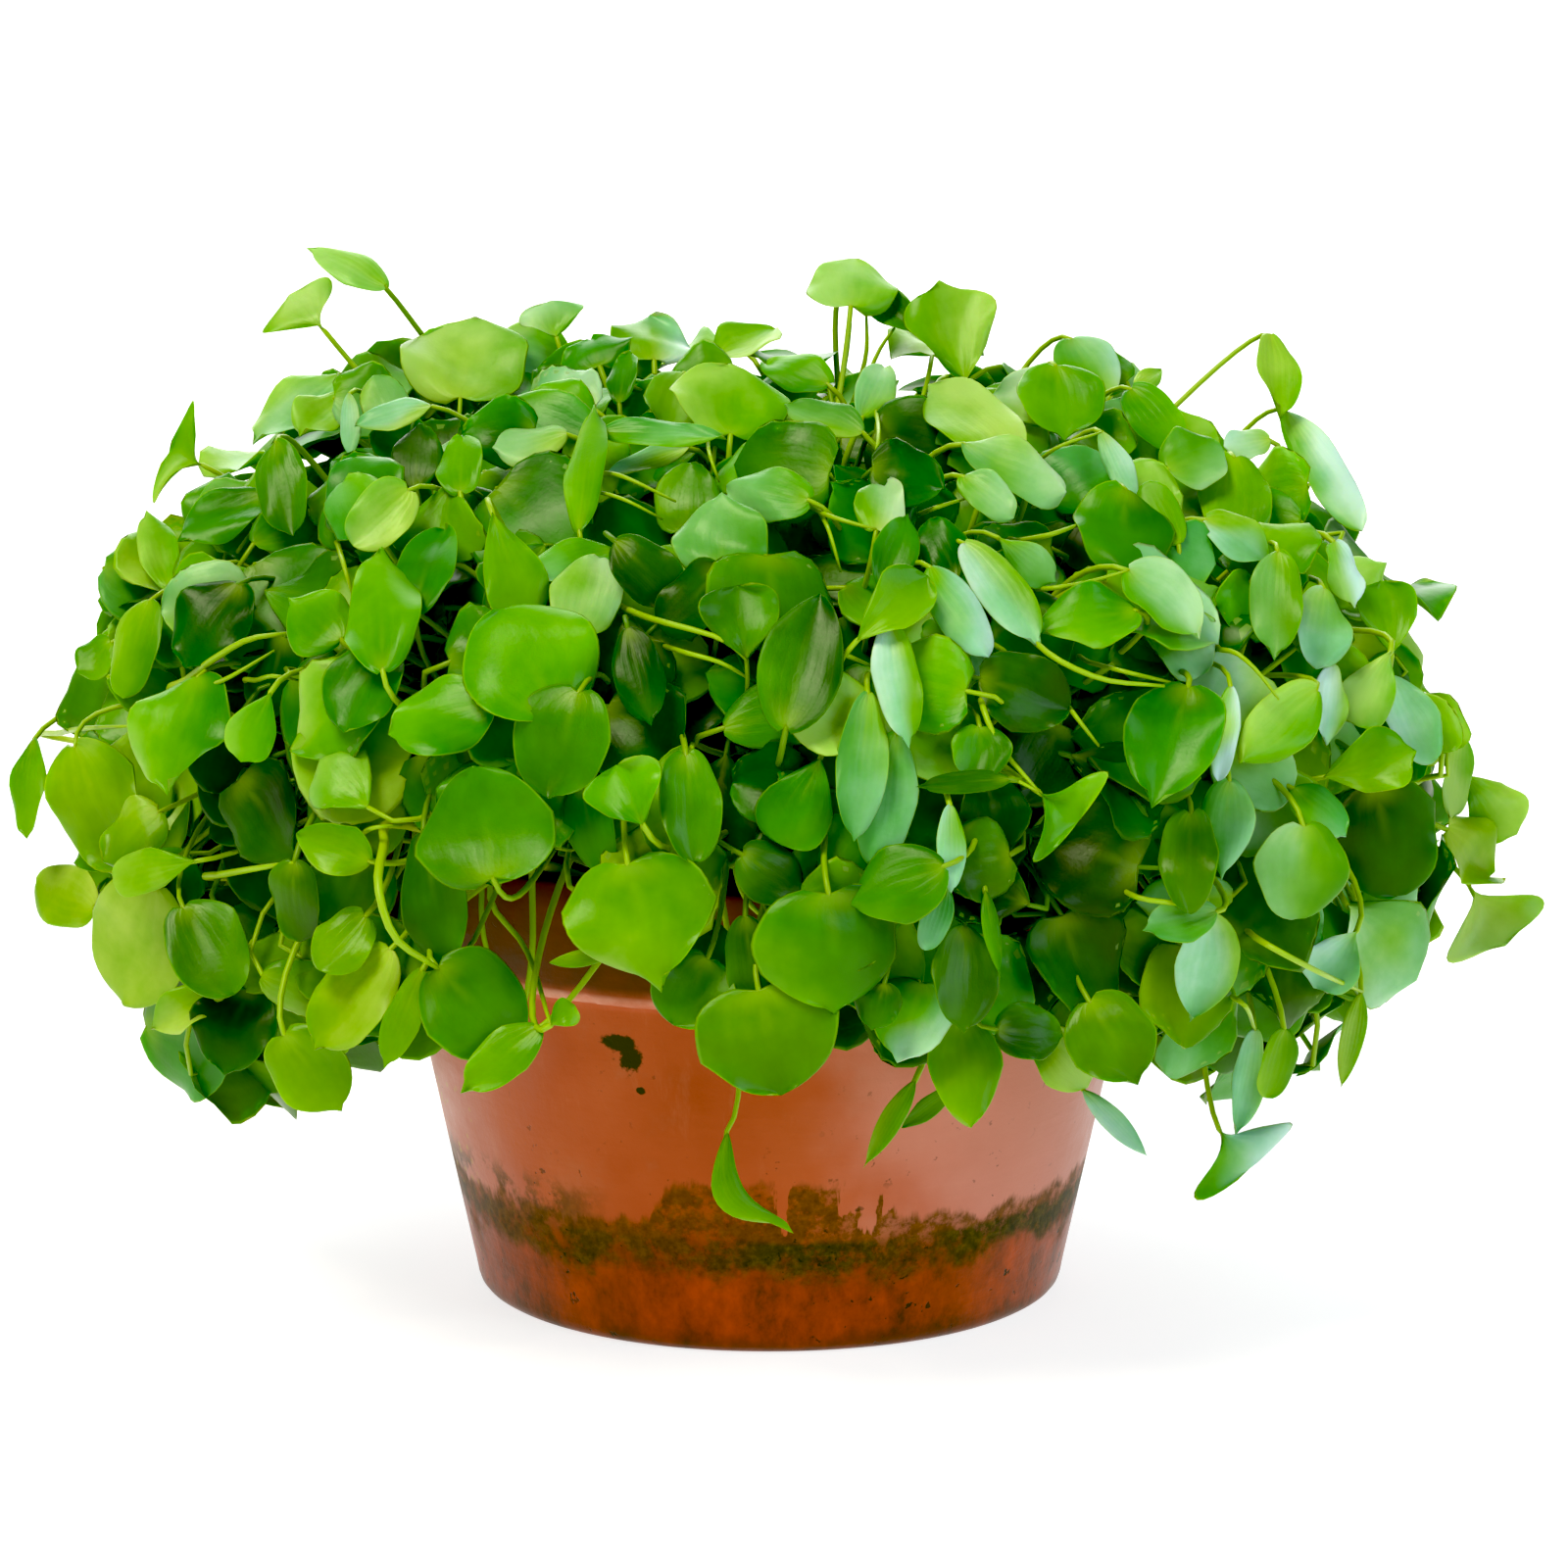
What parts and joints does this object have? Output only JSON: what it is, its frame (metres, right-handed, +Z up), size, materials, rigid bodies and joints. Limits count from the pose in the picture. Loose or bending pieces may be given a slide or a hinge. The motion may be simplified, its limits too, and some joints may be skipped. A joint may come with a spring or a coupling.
{
  "type": "potted miner's lettuce plant",
  "caption": "Dense mound of round-leaved miner's lettuce that spills over the rim of a low terracotta pot with a flared collar and soil.",
  "frame": {"origin": "on the ground, at the middle of the pot's base", "axes": "+Z is up, +X is to the right in the picture and -Y faces the viewer"},
  "size_m": [0.3739, 0.3129, 0.2465],
  "materials": {
    "terracotta": "satin",
    "soil": "matte",
    "leaf": "satin"
  },
  "bodies": {
    "root": {"pot": "terracotta", "soil": "soil", "miners_lettuce_middle": "leaf", "miners_lettuce_right": "leaf", "miners_lettuce_back_right": "leaf", "miners_lettuce_back_left": "leaf", "miners_lettuce_left": "leaf", "miners_lettuce_front_left": "leaf", "miners_lettuce_front_right": "leaf"}
  },
  "joints": []
}
